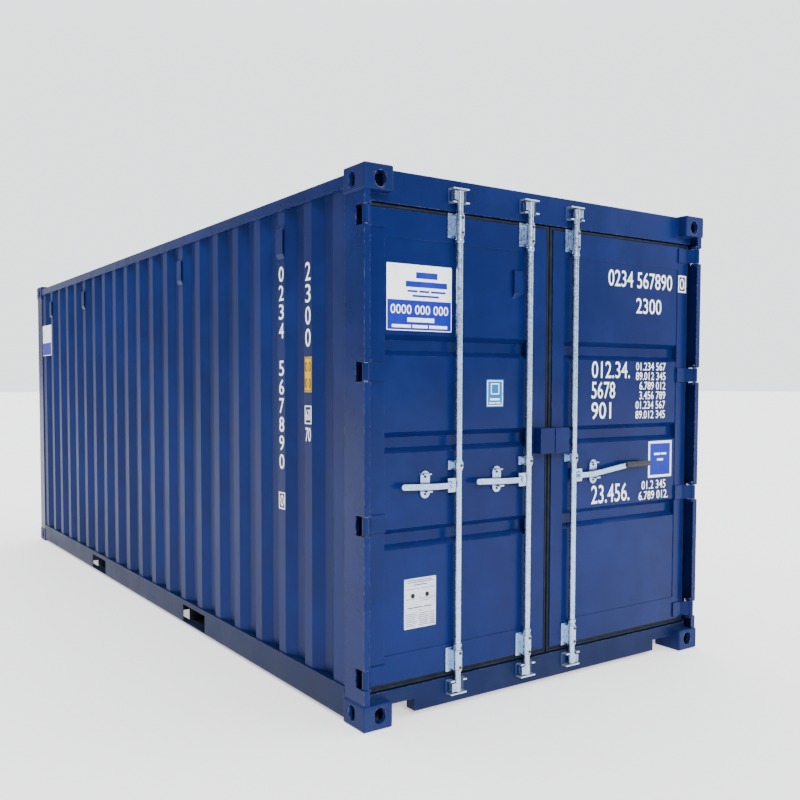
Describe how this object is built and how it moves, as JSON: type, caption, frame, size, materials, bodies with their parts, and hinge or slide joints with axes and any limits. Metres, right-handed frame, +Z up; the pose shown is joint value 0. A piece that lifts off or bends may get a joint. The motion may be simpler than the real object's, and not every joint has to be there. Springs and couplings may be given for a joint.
{
  "type": "shipping container",
  "caption": "Steel dry freight container with corrugated walls and roof, hinged doors at one end with turning lock rods and handles, fork pockets and corner castings.",
  "frame": {"origin": "centre of the footprint, at the level of the bottom faces of the corner castings", "axes": "+X towards the door end, +Y across, +Z up"},
  "size_m": [6.058, 2.438, 2.591],
  "materials": {
    "blue_paint": "satin",
    "galvanised_steel": "satin",
    "seal_rubber": "matte",
    "floor_plywood": "satin",
    "black_grip": "matte"
  },
  "bodies": {
    "box_frame": {"bottom_corner_castings": "blue_paint", "left_sill_casting": "blue_paint", "top_corner_castings": "blue_paint", "bottom_side_rails": "blue_paint", "pocket_mouths": "blue_paint", "cam_keepers": "galvanised_steel", "door_header": "blue_paint", "door_sill": "blue_paint", "floor_crossmembers": "blue_paint", "fork_pockets": "blue_paint", "front_bottom_rail": "blue_paint", "front_posts": "blue_paint", "front_top_rail": "blue_paint", "front_wall": "blue_paint", "hinge_lugs": "blue_paint", "hinge_pins": "galvanised_steel", "plywood_floor": "floor_plywood", "rear_post_left": "blue_paint", "rear_post_right": "blue_paint", "roof_corner_plates": "blue_paint", "roof_panel": "blue_paint", "side_vents": "blue_paint", "side_wall_left": "blue_paint", "side_wall_right": "blue_paint", "top_side_rails": "blue_paint"},
    "left_door": {"door_left_frame": "blue_paint", "door_left_panel": "blue_paint", "door_left_gasket": "seal_rubber", "door_left_hinge_blades": "blue_paint", "door_left_rod_brackets": "galvanised_steel", "door_left_handle_catches": "galvanised_steel", "door_left_vent": "blue_paint", "lock_box_left": "blue_paint"},
    "right_door": {"door_right_frame": "blue_paint", "door_right_panel": "blue_paint", "door_right_gasket": "seal_rubber", "door_right_hinge_blades": "blue_paint", "door_right_rod_brackets": "galvanised_steel", "door_right_handle_catch": "galvanised_steel", "lock_box_right": "blue_paint"},
    "rod_one": {"lock_rod_one": "galvanised_steel"},
    "rod_two": {"lock_rod_two": "galvanised_steel"},
    "rod_three": {"lock_rod_three": "galvanised_steel"},
    "handle_one": {"handle_one": "galvanised_steel"},
    "handle_two": {"handle_two": "galvanised_steel"},
    "handle_three": {"handle_three": "galvanised_steel", "handle_grip": "black_grip"}
  },
  "joints": [
    {"name": "left_door_hinge", "type": "hinge", "parent": "box_frame", "child": "left_door", "pos_m": [3.002, -1.192, 1.3], "axis": [0, 0, -1], "range_deg": [0, 260]},
    {"name": "right_door_hinge", "type": "hinge", "parent": "box_frame", "child": "right_door", "pos_m": [3.002, 1.192, 1.3], "axis": [0, 0, 1], "range_deg": [0, 260]},
    {"name": "rod_one_turn", "type": "hinge", "parent": "left_door", "child": "rod_one", "pos_m": [2.996, -0.64, 1.3], "axis": [0, 0, -1], "range_deg": [-110, 0]},
    {"name": "rod_two_turn", "type": "hinge", "parent": "left_door", "child": "rod_two", "pos_m": [2.996, -0.17, 1.3], "axis": [0, 0, -1], "range_deg": [-110, 0]},
    {"name": "rod_three_turn", "type": "hinge", "parent": "right_door", "child": "rod_three", "pos_m": [2.996, 0.166, 1.3], "axis": [0, 0, 1], "range_deg": [-110, 0]},
    {"name": "handle_one_lift", "type": "hinge", "parent": "rod_one", "child": "handle_one", "pos_m": [3.005, -0.686, 1.107], "axis": [-1, 0, 0], "range_deg": [0, 15]},
    {"name": "handle_two_lift", "type": "hinge", "parent": "rod_two", "child": "handle_two", "pos_m": [3.005, -0.216, 1.107], "axis": [-1, 0, 0], "range_deg": [0, 15]},
    {"name": "handle_three_lift", "type": "hinge", "parent": "rod_three", "child": "handle_three", "pos_m": [3.005, 0.212, 1.107], "axis": [1, 0, 0], "range_deg": [0, 15]}
  ]
}
